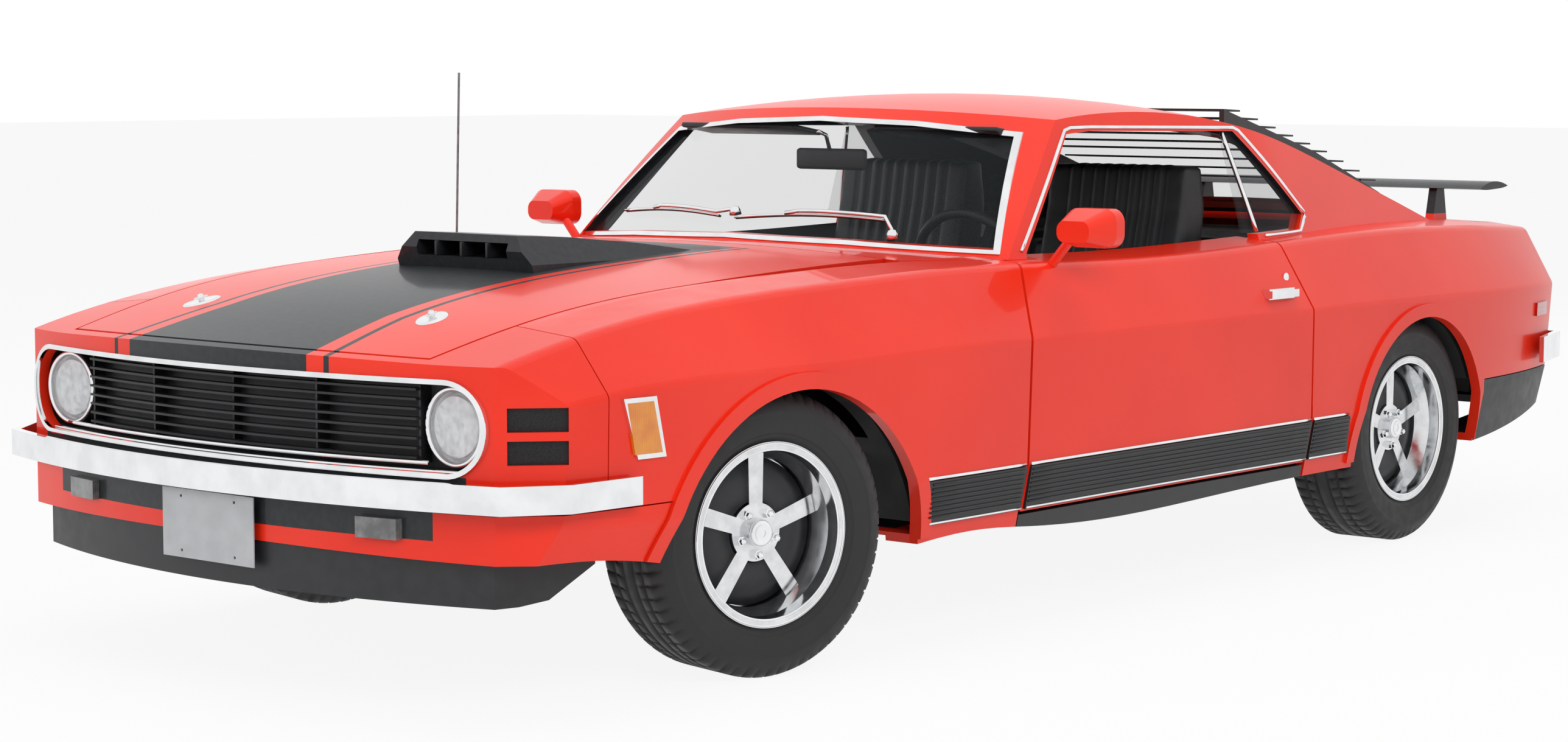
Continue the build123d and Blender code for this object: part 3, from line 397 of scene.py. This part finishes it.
class Build:
    """Collects vertices and faces of several small forms into one mesh."""

    def __init__(self):
        self.verts = []
        self.faces = []

    def add(self, verts, faces):
        k = len(self.verts)
        self.verts += [Vector(v) for v in verts]
        self.faces += [tuple(i + k for i in f) for f in faces]

    def tube(self, path, radius, sides=8, flat=1.0, up=Vector((0, 0, 1)), closed=False):
        """A round or flattened bar that follows a path."""
        pts = [Vector(p) for p in path]
        n = len(pts)
        rings = []
        for i, p in enumerate(pts):
            a = pts[(i - 1) % n] if (closed or i > 0) else p
            b = pts[(i + 1) % n] if (closed or i < n - 1) else p
            t = (b - a).normalized()
            side = t.cross(up)
            if side.length < 1e-4:
                side = t.cross(Vector((1, 0, 0)))
            side.normalize()
            top = side.cross(t).normalized()
            rings.append([p + side * math.cos(2 * math.pi * k / sides) * radius
                          + top * math.sin(2 * math.pi * k / sides) * radius * flat for k in range(sides)])
        verts = [v for ring in rings for v in ring]
        faces = []
        for i in range(n if closed else n - 1):
            j = (i + 1) % n
            for k in range(sides):
                l = (k + 1) % sides
                faces.append((i * sides + k, j * sides + k, j * sides + l, i * sides + l))
        if not closed:
            faces.append(tuple(range(sides)))
            faces.append(tuple(reversed(range((n - 1) * sides, n * sides))))
        self.add(verts, faces)

    def lathe(self, origin, axis, profile, sides=32, cap=True):
        """Turns a profile of (along, radius) rows about an axis."""
        axis = Vector(axis).normalized()
        ref = Vector((0, 0, 1)) if abs(axis.z) < 0.9 else Vector((1, 0, 0))
        u = axis.cross(ref).normalized()
        w = axis.cross(u)
        verts = []
        for along, r in profile:
            for k in range(sides):
                a = 2 * math.pi * k / sides
                verts.append(Vector(origin) + axis * along + (u * math.cos(a) + w * math.sin(a)) * r)
        faces = []
        for i in range(len(profile) - 1):
            for k in range(sides):
                l = (k + 1) % sides
                faces.append((i * sides + k, i * sides + l, (i + 1) * sides + l, (i + 1) * sides + k))
        if cap:
            faces.append(tuple(reversed(range(sides))))
            faces.append(tuple(range((len(profile) - 1) * sides, len(profile) * sides)))
        self.add(verts, faces)

    def block(self, centre, size, matrix=None):
        verts = []
        for sx in (-0.5, 0.5):
            for sy in (-0.5, 0.5):
                for sz in (-0.5, 0.5):
                    verts.append(Vector((sx * size[0], sy * size[1], sz * size[2])))
        if matrix is not None:
            verts = [matrix @ v for v in verts]
        self.add([v + Vector(centre) for v in verts],
                 [(0, 1, 3, 2), (4, 6, 7, 5), (0, 4, 5, 1), (2, 3, 7, 6), (0, 2, 6, 4), (1, 5, 7, 3)])

    def mapped(self, matrix):
        out = Build()
        flip = matrix.determinant() < 0
        out.verts = [matrix @ v for v in self.verts]
        out.faces = [tuple(reversed(f)) for f in self.faces] if flip else list(self.faces)
        return out

    def make(self, name, mat, body, slot=None, smooth=True, bevel=0.0):
        obj = piece(name, self.verts, self.faces, mat, body, smooth)
        if bevel:
            m = obj.modifiers.new("edge", "BEVEL")
            m.width = bevel
            m.segments = 2
            m.limit_method = "ANGLE"
            m.angle_limit = math.radians(40)
        return obj


def circle(count):
    """Cosine and sine of evenly spaced angles."""
    return [(math.cos(2 * math.pi * k / count), math.sin(2 * math.pi * k / count)) for k in range(count)]


def tree_of(*names):
    verts, faces = [], []
    for n in names:
        k = len(verts)
        mesh = nodes[n].data
        verts += [v.co.copy() for v in mesh.vertices]
        faces += [tuple(i + k for i in p.vertices) for p in mesh.polygons]
    return BVHTree.FromPolygons(verts, faces)


def cast_on(tree, start, direction):
    hit = tree.ray_cast(Vector(start), Vector(direction).normalized())
    return (hit[0], hit[1]) if hit[0] is not None else (None, None)


def fine(points, step=0.03):
    out = []
    for a, b in zip(points, points[1:]):
        a, b = Vector(a), Vector(b)
        n = max(1, int((b - a).length / step))
        out += [a.lerp(b, i / n) for i in range(n)]
    out.append(Vector(points[-1]))
    return out


def side_path(tree, points, side, lift):
    """Points of (x, z) laid on the car's side by casting inwards."""
    out = []
    for p in fine([(x, 0, z) for x, z in points]):
        hit, _ = cast_on(tree, (p.x, side * OUTSIDE_Y, p.z), (0, -side, 0))
        if hit is not None and abs(hit.y) > 0.4:
            out.append(hit + Vector((0, side * lift, 0)))
    return out


WHEELS = {
    "front_left": (Matrix.Translation((FRONT_AXLE, KINGPIN_Y, TYRE_R)) @ Matrix.Rotation(STEER_REST, 4, "Z")
                   @ Matrix.Translation((0, HALF_TRACK - KINGPIN_Y, 0))),
    "front_right": (Matrix.Translation((FRONT_AXLE, -KINGPIN_Y, TYRE_R)) @ Matrix.Rotation(STEER_REST, 4, "Z")
                    @ Matrix.Translation((0, KINGPIN_Y - HALF_TRACK, 0)) @ Matrix.Scale(-1, 4, (0, 1, 0))),
    "rear_left": Matrix.Translation((REAR_AXLE, HALF_TRACK, TYRE_R)),
    "rear_right": Matrix.Translation((REAR_AXLE, -HALF_TRACK, TYRE_R)) @ Matrix.Scale(-1, 4, (0, 1, 0)),
}

# Tyres with grooves and sipes
# Rows of (across, radius) from the bead to the middle of the tread
half_profile = [
    (0.0978, 0.198), (0.0978, 0.210), (0.103, 0.215), (0.1068, 0.222), (0.1088, 0.2262), (0.1102, 0.2268),
    (0.1108, 0.2305), (0.1128, 0.2430), (0.1138, 0.2560), (0.1139, 0.2640), (0.1136, 0.2720), (0.1142, 0.2733),
    (0.1136, 0.2765), (0.1118, 0.2830), (0.1085, 0.2920), (0.1050, 0.2985), (0.1020, 0.3040), (0.0970, 0.3105),
    (0.0920, 0.3160), (0.0860, 0.3195), (0.0800, TYRE_R), (0.0570, TYRE_R), (0.0560, 0.3150), (0.0480, 0.3150),
    (0.0470, TYRE_R), (0.0240, TYRE_R), (0.0230, 0.3150), (0.0150, 0.3150), (0.0140, TYRE_R),
]
PITCHES = 64
SHOULDER_R = 0.3155
SIPE_DEPTH = 0.0045
SHOULDER_DEPTH = 0.0022
# Share of a pitch, and whether a sipe is cut there
STEPS = ((0.0, 0), (0.40, 0), (0.78, 0), (0.82, 1), (0.96, 1))


def tyre_build():
    rows = half_profile + [(-y, r) for y, r in reversed(half_profile)]
    out = Build()
    count = PITCHES * len(STEPS)
    verts = []
    for y, r in rows:
        for p in range(PITCHES):
            for share, low in STEPS:
                skew = 0.35 * abs(y) / 0.1 + (0.5 if y < 0 else 0.0)
                a = 2 * math.pi * (p + share + skew) / PITCHES
                cut = r
                if low and r > SHOULDER_R and abs(y) > 0.026:
                    cut = r - SIPE_DEPTH
                if low and 0.300 < r <= SHOULDER_R and abs(y) > 0.090:
                    cut = r - SHOULDER_DEPTH
                verts.append(Vector((math.cos(a) * cut, y, math.sin(a) * cut)))
    faces = []
    n = len(rows)
    for i in range(n):
        j = (i + 1) % n
        for k in range(count):
            m = (k + 1) % count
            faces.append((i * count + k, j * count + k, j * count + m, i * count + m))
    out.add(verts, faces)
    return out


tyre_mesh = tyre_build()
rim_dark = Build()
rim_dark.lathe((0, 0, 0), (0, 1, 0),
               [(0.030, 0.067), (0.040, 0.070), (0.036, 0.120), (0.020, 0.166), (0.004, 0.169)], 48, cap=False)
lugs = Build()
for k in range(5):
    a = math.radians(90 + 36 + 72 * k)
    at = (math.cos(a) * 0.0500, 0.0455, math.sin(a) * 0.0500)
    lugs.lathe(at, (0, 1, 0), [(0.0, 0.0118), (0.012, 0.0112), (0.013, 0.0085), (0.020, 0.0075), (0.023, 0.004)], 6)
cap_trim = Build()
cap_trim.lathe((0, 0.062, 0), (0, 1, 0), [(0.0, 0.030), (0.006, 0.0295), (0.009, 0.026), (0.0095, 0.020),
                                          (0.0065, 0.0185), (0.0065, 0.010), (0.009, 0.008), (0.0095, 0.002)], 32)
beads = Build()
for r, y in ((0.2035, 0.1035), (0.190, 0.1015)):
    ring = [Vector((c * r, y, s * r)) for c, s in circle(96)]
    beads.tube(ring, 0.0028, 8, up=Vector((0, 1, 0)), closed=True)
for corner, matrix in WHEELS.items():
    body = "wheel_" + corner
    t = tyre_mesh.mapped(matrix).make("tyre_tread_" + corner, rubber, body, "tyre_rubber")
    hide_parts("tyre_" + corner)
    rim_dark.mapped(matrix).make("wheel_dish_" + corner, satin_black, body, "black_satin")
    lugs.mapped(matrix).make("lug_nuts_" + corner, chrome, body, "bright_metal", smooth=False)
    cap_trim.mapped(matrix).make("hub_cap_" + corner, chrome, body, "bright_metal")
    beads.mapped(matrix).make("rim_edge_" + corner, chrome, body, "bright_metal")

# Bright trim lines, laid on the car's side
def level(z, x0, x1):
    return [(x0, z), (x1, z)]


for side_name, side in SIDES:
    door = "door_" + side_name
    skin_tree = tree_of("fenders", "quarter_panels", door, "roof_panel", "cowl_panel", "rocker_trim",
                        "door_trim_" + side_name)
    runs = [
        ("rocker_bright_front_", "body", level(ROCKER_TOP_Z, 0.955, 0.580), 0.0045, 0.002),
        ("rocker_bright_door_", door, level(ROCKER_TOP_Z, 0.556, -0.722), 0.0045, 0.002),
        ("rocker_bright_rear_", "body", level(ROCKER_TOP_Z, -0.740, -0.920), 0.0045, 0.002),
        ("rocker_line_front_", "body", level(ROCKER_LOW_Z, 0.935, 0.580), 0.0028, 0.001),
        ("rocker_line_door_", door, level(ROCKER_LOW_Z, 0.556, -0.722), 0.0028, 0.001),
        ("rocker_line_rear_", "body", level(ROCKER_LOW_Z, -0.740, -0.930), 0.0028, 0.001),
        ("window_frame_", "body", [(0.372, 0.900), (0.078, 1.1915), (0.050, 1.1985), (-0.040, 1.1995),
                                   (-0.692, 1.1895), (-0.715, 1.182), (-0.996, 0.951), (-0.996, 0.938),
                                   (-0.950, 0.900), (-0.738, 0.896)], 0.0055, 0.001),
    ]
    for name, body, pts, radius, lift in runs:
        path = side_path(skin_tree, pts, side, lift)
        if len(path) > 1:
            b = Build()
            b.tube(path, radius, 8)
            b.make(name + side_name, chrome, body, "bright_metal")
    ribs_body = Build()
    ribs_door = Build()
    for row in range(8):
        z = 0.311 + row * 0.0112
        for x0, x1, target in ((0.940, 0.585, ribs_body), (0.552, -0.718, ribs_door), (-0.745, -0.925, ribs_body)):
            path = side_path(skin_tree, [(x0, z), (x1, z)], side, 0.0005)
            if len(path) > 1:
                target.tube(path[::3] + [path[-1]], 0.0030, 6)
    ribs_body.make("rocker_ribs_body_" + side_name, satin_black, "body", "black_satin")
    ribs_door.make("rocker_ribs_door_" + side_name, satin_black, door, "black_satin")
    door_tree = tree_of(door)
    lock = Build()
    hit, _ = cast_on(door_tree, (-0.668, side * OUTSIDE_Y, 0.790), (0, -side, 0))
    if hit is not None:
        lock.lathe(hit, (0, side, 0), [(-0.002, 0.0125), (0.003, 0.012), (0.0045, 0.009), (0.0045, 0.003)], 24)
        lock.make("door_lock_" + side_name, chrome, door, "bright_metal")
    glass_tree = tree_of("quarter_glass")
    path = []
    for i in range(POST_STEPS + 1):
        x = POST_TOP[0] + (POST_FOOT[0] - POST_TOP[0]) * i / POST_STEPS
        z = POST_TOP[1] + (POST_FOOT[1] - POST_TOP[1]) * i / POST_STEPS
        hit, _ = cast_on(glass_tree, (x - 0.004, side * OUTSIDE_Y, z), (0, -side, 0))
        if hit is not None:
            path.append(hit + Vector((0.002, side * 0.002, 0)))
    if len(path) > 1:
        b = Build()
        b.tube(path, 0.0065, 8)
        b.make("quarter_window_post_" + side_name, chrome, "body", "bright_metal")


# Grille strips, lamp bezels, hood pins
def nose_point(y, inset, z):
    return Vector((NOSE_CX + math.sqrt((NOSE_R - inset) ** 2 - y * y), y, z))


b = Build()
b.tube([nose_point(-0.60 + 1.20 * i / 40, 0.012, 0.5385) for i in range(41)], 0.0045, 8)
b.tube([nose_point(-0.70 + 1.40 * i / 46, 0.010, 0.5215) for i in range(47)], 0.0040, 8)
b.make("grille_bright_strips", chrome, "body", "bright_metal")

lens_rows = [(0.0, 0.0755), (0.006, 0.0740), (0.011, 0.0660), (0.0150, 0.0520), (0.0178, 0.0360), (0.0192, 0.0180),
             (0.0196, 0.004)]
lens_glass = glass("headlamp_glass", (0.75, 0.77, 0.78), 0.35, 0.05)
bezel = Build()
lens = Build()
for side in (-1, 1):
    centre = Vector((2.203, side * 0.640, 0.612))
    ring = [centre + Vector((0.006, c * BEZEL_R, s * BEZEL_R)) for c, s in circle(64)]
    bezel.tube(ring, 0.0060, 10, up=Vector((1, 0, 0)), closed=True)
    lens.lathe(centre, (1, 0, 0), lens_rows, 48)
bezel.make("headlamp_rings", chrome, "body", "bright_metal")
lens.make("headlamp_lenses", lens_glass, "body", "lamp_glass")

# Half lengths along and across, and height, of each ring of a hood pin's oval plate
PIN_PLATE = ((0.047, 0.030, -0.001), (0.047, 0.030, 0.0025), (0.043, 0.027, 0.0042), (0.030, 0.018, 0.0034),
             (0.014, 0.012, 0.0034))
PIN_SIDES = 40
hood_tree = tree_of("hood")
pins = Build()
for side in (-1, 1):
    hit, normal = cast_on(hood_tree, (2.03, side * 0.385, 1.2), (0, 0, -1))
    if hit is None:
        continue
    q = normal.to_track_quat("Z", "X").to_matrix()
    verts = []
    for rx, ry, h in PIN_PLATE:
        verts += [q @ Vector((c * rx, s * ry, h)) + hit for c, s in circle(PIN_SIDES)]
    faces = []
    for i in range(len(PIN_PLATE) - 1):
        for k in range(PIN_SIDES):
            m = (k + 1) % PIN_SIDES
            a, b = i * PIN_SIDES, (i + 1) * PIN_SIDES
            faces.append((a + k, a + m, b + m, b + k))
    faces.append(tuple(range(PIN_SIDES * (len(PIN_PLATE) - 1), PIN_SIDES * len(PIN_PLATE))))
    pins.add(verts, faces)
    pins.lathe(hit, q @ Vector((0, 0, 1)), [(0.002, 0.0075), (0.016, 0.0070), (0.019, 0.0045)], 16)
    loop = [hit + q @ Vector((c * 0.017, s * 0.007, 0.011)) for c, s in circle(24)]
    pins.tube(loop, 0.0016, 6, closed=True)
pins.make("hood_pins", chrome, "hood", "bright_metal")

posts = Build()
for y in (-0.085, 0.0, 0.085):
    posts.block((1.545, y, 0.930), (0.060, 0.007, 0.034))
posts.make("scoop_struts", satin_black, "hood", "black_satin", bevel=0.001)

# Wipers, mirror and small cabin pieces
screen_tree = tree_of("windshield")
cowl_tree = tree_of("cowl_panel", "hood", "fenders", "windshield")
wipers = Build()
blades = Build()
for pivot_y, length in ((0.455, 0.47), (-0.035, 0.47)):
    hit, _ = cast_on(cowl_tree, (0.565 if abs(pivot_y) < 0.2 else 0.530, pivot_y, 1.6), (0, 0, -1))
    if hit is None:
        continue
    wipers.lathe(hit, (0.15, 0, 1), [(-0.002, 0.016), (0.010, 0.014), (0.018, 0.010), (0.020, 0.004)], 20)
    arm = [hit + Vector((0, 0, 0.014))]
    run = []
    for i in range(1, 13):
        t = i / 12
        y = pivot_y - length * t
        z = 0.962 + 0.012 * math.sin(math.pi * t)
        g, n = cast_on(screen_tree, (AHEAD_X, y, z), (-1, 0, 0))
        if g is None:
            continue
        n = n if n.x > 0 else -n
        run.append(g + n * 0.010)
        if t < 0.62:
            arm.append(g + n * 0.022)
    if len(run) > 3:
        arm.append(run[7] + Vector((0.008, 0, 0.004)))
        wipers.tube(arm, 0.0050, 8)
        wipers.tube(run, 0.0035, 8)
        blades.tube([p + Vector((-0.006, 0, -0.003)) for p in run], 0.0032, 6)
wipers.make("wiper_arms", chrome, "body", "bright_metal")
blades.make("wiper_blades", rubber, "body", "trim_plastic")

hit, _ = cast_on(screen_tree, (AHEAD_X, 0.0, 1.185), (-1, 0, 0))
if hit is not None:
    m = Build()
    m.tube([hit + Vector((-0.018, 0, 0.0)), hit + Vector((-0.050, 0, -0.010)), hit + Vector((-0.066, 0, -0.050))],
           0.0055, 10)
    m.make("rear_view_mirror_arm", chrome, "body", "bright_metal")
    m = Build()
    m.block(hit + Vector((-0.074, 0.0, -0.074)), (0.020, 0.235, 0.056))
    m.make("rear_view_mirror", plastic, "body", "trim_plastic", smooth=True, bevel=0.009)
for side in (-1, 1):
    v = Build()
    hit, _ = cast_on(screen_tree, (AHEAD_X, side * 0.34, 1.170), (-1, 0, 0))
    if hit is not None:
        v.block(hit + Vector((-0.115, 0, 0.016)), (0.13, 0.40, 0.014), Matrix.Rotation(math.radians(-9), 3, "Y"))
        v.make("sun_visor_" + ("left" if side > 0 else "right"), vinyl, "body", "seat_vinyl", bevel=0.005)
OVAL_SIDES = 40
OVAL_POWER = 2.6
for side_name, side in SIDES:
    g = Build()
    oval = [(math.copysign(abs(c) ** (2 / OVAL_POWER), c), math.copysign(abs(s) ** (2 / OVAL_POWER), s))
            for c, s in circle(OVAL_SIDES)]
    cx, cy, cz = MIRROR_AT[0], side * MIRROR_AT[1], MIRROR_AT[2]
    verts = [Vector((cx, cy + c * 0.064, cz + s * 0.037)) for c, s in oval] + [Vector((cx - 0.002, cy, cz))]
    g.add(verts, [(k, (k + 1) % OVAL_SIDES, OVAL_SIDES) for k in range(OVAL_SIDES)])
    g.make("mirror_glass_" + side_name, chrome, "door_" + side_name, "bright_metal")

DIAL_X = 0.2315
dials = Build()
for y, z, r in ((0.27, 0.765, 0.052), (0.45, 0.765, 0.052), (0.36, 0.800, 0.026)):
    ring = [Vector((DIAL_X, y + c * r, z + s * r)) for c, s in circle(32)]
    dials.tube(ring, 0.0035, 8, up=Vector((1, 0, 0)), closed=True)
dials.make("dash_dial_rings", chrome, "body", "bright_metal")


# Upholstery
PLEAT_DEPTH = 0.011
PLEAT_MID = 0.75


def upholstered(name, source, pleats):
    """A padded cover made from the seat solid: rounded, crowned and sewn in channels."""
    src = nodes[source]
    mesh = src.data.copy()
    mesh.name = name
    obj = bpy.data.objects.new(name, mesh)
    scene.collection.objects.link(obj)
    mesh.materials.clear()
    mesh.materials.append(vinyl)
    m = obj.modifiers.new("remesh", "REMESH")
    m.mode = "VOXEL"
    m.voxel_size = 0.010
    s = obj.modifiers.new("round", "SMOOTH")
    s.factor = 0.5
    s.iterations = 14
    dg = bpy.context.evaluated_depsgraph_get()
    made = bpy.data.meshes.new_from_object(obj.evaluated_get(dg))
    obj.modifiers.clear()
    obj.data = made
    made.materials.clear()
    made.materials.append(vinyl)
    for v in made.vertices:
        n = v.normal
        facing = max(0.0, max(n.x, n.z))
        y = abs(v.co.y)
        for y0, y1, width in pleats:
            if y0 < y < y1:
                wave = abs(math.sin(math.pi * (y - y0) / width)) ** 0.5
                v.co += n * (PLEAT_DEPTH * (wave - PLEAT_MID)) * facing
    made.update()
    for p in made.polygons:
        p.use_smooth = True
    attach(obj, "body")
    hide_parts(source)
    return obj


upholstered("front_seat_covers", "front_seats", [(0.215, 0.535, 0.040)])
upholstered("rear_seat_cover", "rear_seat", [(0.09, 0.49, 0.050)])

# Stage, light and camera
FLOOR_HALF = 60
FLOOR_Z = -0.0005
FLOOR_GLOW = 0.90


def seen_ray(tree):
    """One for rays from the camera, in reflections and through glass."""
    paths = tree.nodes.new("ShaderNodeLightPath")
    return maths(tree, "MAXIMUM", paths.outputs["Is Camera Ray"],
                 maths(tree, "MAXIMUM", paths.outputs["Is Glossy Ray"], paths.outputs["Is Transmission Ray"]))


floor_mat, tree, bsdf = node_tree("floor_white")
bsdf.inputs["Base Color"].default_value = (0.93, 0.93, 0.93, 1)
bsdf.inputs["Roughness"].default_value = 0.9
glow = tree.nodes.new("ShaderNodeEmission")
glow.inputs["Color"].default_value = (1, 1, 1, 1)
glow.inputs["Strength"].default_value = 1.0
mixer = tree.nodes.new("ShaderNodeMixShader")
link(tree, maths(tree, "MULTIPLY", seen_ray(tree), FLOOR_GLOW), mixer.inputs["Fac"])
link(tree, bsdf.outputs["BSDF"], mixer.inputs[1])
link(tree, glow.outputs["Emission"], mixer.inputs[2])
link(tree, mixer.outputs["Shader"], tree.nodes["Material Output"].inputs["Surface"])
floor_mesh = bpy.data.meshes.new("floor")
corners = [(-1, -1), (1, -1), (1, 1), (-1, 1)]
floor_mesh.from_pydata([(x * FLOOR_HALF, y * FLOOR_HALF, FLOOR_Z) for x, y in corners], [], [(0, 1, 2, 3)])
floor_mesh.materials.append(floor_mat)
floor = bpy.data.objects.new("floor", floor_mesh)
scene.collection.objects.link(floor)

world = bpy.data.worlds.new("studio")
scene.world = world
world.use_nodes = True
wt = world.node_tree
for n in list(wt.nodes):
    wt.nodes.remove(n)
out = wt.nodes.new("ShaderNodeOutputWorld")
ambient = wt.nodes.new("ShaderNodeBackground")
ambient.inputs["Color"].default_value = (0.93, 0.96, 1.0, 1)
ambient.inputs["Strength"].default_value = 0.34
shown = wt.nodes.new("ShaderNodeBackground")
shown.inputs["Color"].default_value = (1, 1, 1, 1)
shown.inputs["Strength"].default_value = 1.0
wmix = wt.nodes.new("ShaderNodeMixShader")
link(wt, seen_ray(wt), wmix.inputs["Fac"])
link(wt, ambient.outputs[0], wmix.inputs[1])
link(wt, shown.outputs[0], wmix.inputs[2])
link(wt, wmix.outputs[0], out.inputs["Surface"])


def area(name, place, target, size, power, size_y=None):
    data = bpy.data.lights.new(name, "AREA")
    data.shape = "RECTANGLE"
    data.size = size
    data.size_y = size_y or size
    data.energy = power
    obj = bpy.data.objects.new(name, data)
    scene.collection.objects.link(obj)
    obj.location = place
    obj.visible_glossy = False
    obj.rotation_mode = "QUATERNION"
    obj.rotation_quaternion = (Vector(target) - Vector(place)).to_track_quat("-Z", "Y")
    return obj


area("key", (4.5, 7.5, 5.5), (0, 0, 0.5), 6.0, 330, 3.0)
area("top", (0.3, 0.4, 6.5), (0, 0, 0.5), 7.0, 170, 3.2)
area("nose_fill", (8.5, -1.5, 3.2), (1.5, 0, 0.5), 4.0, 130, 2.2)
area("rear_fill", (-7.5, -4.0, 4.5), (-1, 0, 0.6), 4.0, 120, 2.5)

# The camera stands where the photograph was taken
CAM_POS = Vector((6.791153, 5.445591, 1.352217))
CAM_YAW, CAM_PITCH, CAM_ROLL = (math.radians(a) for a in (-139.51, -5.388, 0.029))
CAM_FOCAL_PX = 5288.341
IMAGE_WIDTH_PX = 2576
SENSOR_MM = 36
forward = Vector((math.cos(CAM_PITCH) * math.cos(CAM_YAW), math.cos(CAM_PITCH) * math.sin(CAM_YAW),
                  math.sin(CAM_PITCH)))
right = Vector((math.sin(CAM_YAW), -math.cos(CAM_YAW), 0))
up = right.cross(forward)
right, up = (right * math.cos(CAM_ROLL) + up * math.sin(CAM_ROLL),
             up * math.cos(CAM_ROLL) - right * math.sin(CAM_ROLL))
cam_data = bpy.data.cameras.new("camera")
cam = bpy.data.objects.new("camera", cam_data)
scene.collection.objects.link(cam)
turn = Matrix((right, up, -forward)).transposed()
cam.matrix_world = Matrix.Translation(CAM_POS) @ turn.to_4x4()
cam_data.sensor_width = SENSOR_MM
cam_data.lens = CAM_FOCAL_PX * SENSOR_MM / IMAGE_WIDTH_PX
cam_data.clip_start = 0.1
cam_data.clip_end = 200
scene.camera = cam
scene.view_settings.view_transform = "Standard"
